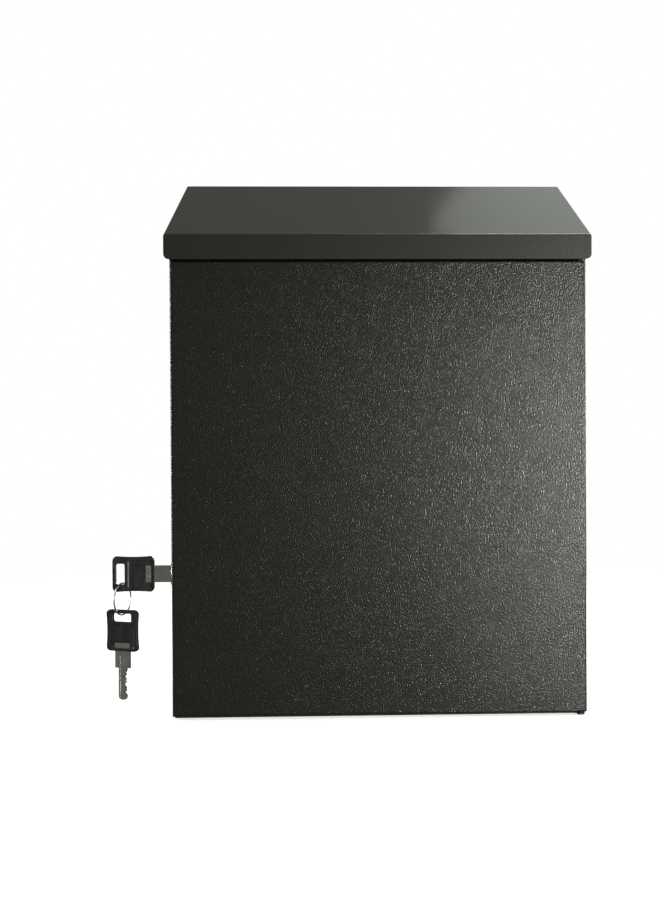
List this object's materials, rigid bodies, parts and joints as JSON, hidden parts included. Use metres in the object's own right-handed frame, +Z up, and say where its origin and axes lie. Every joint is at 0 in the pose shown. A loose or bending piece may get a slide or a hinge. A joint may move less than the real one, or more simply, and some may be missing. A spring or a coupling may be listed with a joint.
{
  "type": "parcel drop box",
  "caption": "Wall-mounted parcel drop box of folded sheet steel, with a sloped lift-up lid, an inner chute and flap, a blank lockable front door and keys.",
  "frame": {"origin": "middle of the box's footprint, on the plane of its underside, half way between the lid's front lip and the wall face", "axes": "+Z up, +Y to the wall, +X to the right as seen from the front"},
  "size_m": [0.3475, 0.15, 0.4],
  "materials": {
    "powder_coat": "fine-textured charcoal powder coat",
    "zinc_steel": "zinc-plated",
    "nickel": "satin nickel plate",
    "black_plastic": "moulded, satin",
    "rubber": "matte"
  },
  "bodies": {
    "case": {"back_panel": "powder_coat", "left_side": "powder_coat", "right_side": "powder_coat", "bottom_tray": "powder_coat", "bottom_stop_rail": "powder_coat", "front_rail": "powder_coat", "chute_plate": "powder_coat", "lid_seal": "rubber", "lid_bumpers": "rubber", "door_bumpers": "rubber", "door_pivot_pins": "zinc_steel", "flap_brackets": "zinc_steel", "flap_pin": "zinc_steel", "flap_springs": "zinc_steel", "hinge_body_leaf": "zinc_steel", "hinge_pin": "zinc_steel", "hinge_rivets": "zinc_steel", "lock_housing": "nickel", "lock_washer": "zinc_steel", "lock_nut": "zinc_steel"},
    "lid": {"lid_shell": "powder_coat", "hinge_lid_leaf": "zinc_steel"},
    "door": {"door_panel": "powder_coat", "door_stiffener": "powder_coat", "striker_bracket": "zinc_steel", "striker_pin": "zinc_steel"},
    "flap": {"deposit_flap": "powder_coat"},
    "plug": {"lock_plug": "nickel", "lock_cam": "zinc_steel", "cam_washer": "zinc_steel", "cam_screw": "zinc_steel"},
    "key": {"key_blade": "nickel", "key_bow": "black_plastic"},
    "ring": {"key_ring": "nickel"},
    "spare": {"spare_key_blade": "nickel", "spare_key_bow": "black_plastic"}
  },
  "joints": [
    {"name": "lid_hinge", "type": "hinge", "parent": "case", "child": "lid", "pos_m": [0, 0.0682, 0.39458], "axis": [-1, 0, 0], "range_deg": [0, 67]},
    {"name": "door_hinge", "type": "hinge", "parent": "case", "child": "door", "pos_m": [0.1421, -0.0692, 0.16], "axis": [0, 0, 1], "range_deg": [0, 110]},
    {"name": "flap_hinge", "type": "hinge", "parent": "case", "child": "flap", "pos_m": [0, 0.067, 0.2635], "axis": [1, 0, 0], "range_deg": [0, 70], "stiffness_Nm_per_rad": 0.06, "springref_deg": -68.75},
    {"name": "lock_turn", "type": "hinge", "parent": "case", "child": "plug", "pos_m": [-0.135, -0.045, 0.1], "axis": [1, 0, 0], "range_deg": [0, 90]},
    {"name": "key_pull", "type": "slide", "parent": "plug", "child": "key", "axis": [-1, 0, 0], "range_m": [0, 0.03]},
    {"name": "ring_swing", "type": "hinge", "parent": "key", "child": "ring", "pos_m": [-0.1863, -0.045, 0.08975], "axis": [1, 0, 0], "range_deg": [-90, 0]},
    {"name": "spare_key_swing", "type": "hinge", "parent": "ring", "child": "spare", "pos_m": [-0.18505, -0.045, 0.07065], "axis": [0.3746, 0.9272, 0], "range_deg": [-20, 20]}
  ],
  "couplings": [
    {"joint": "ring_swing", "follows": "lock_turn", "ratio": -1}
  ]
}
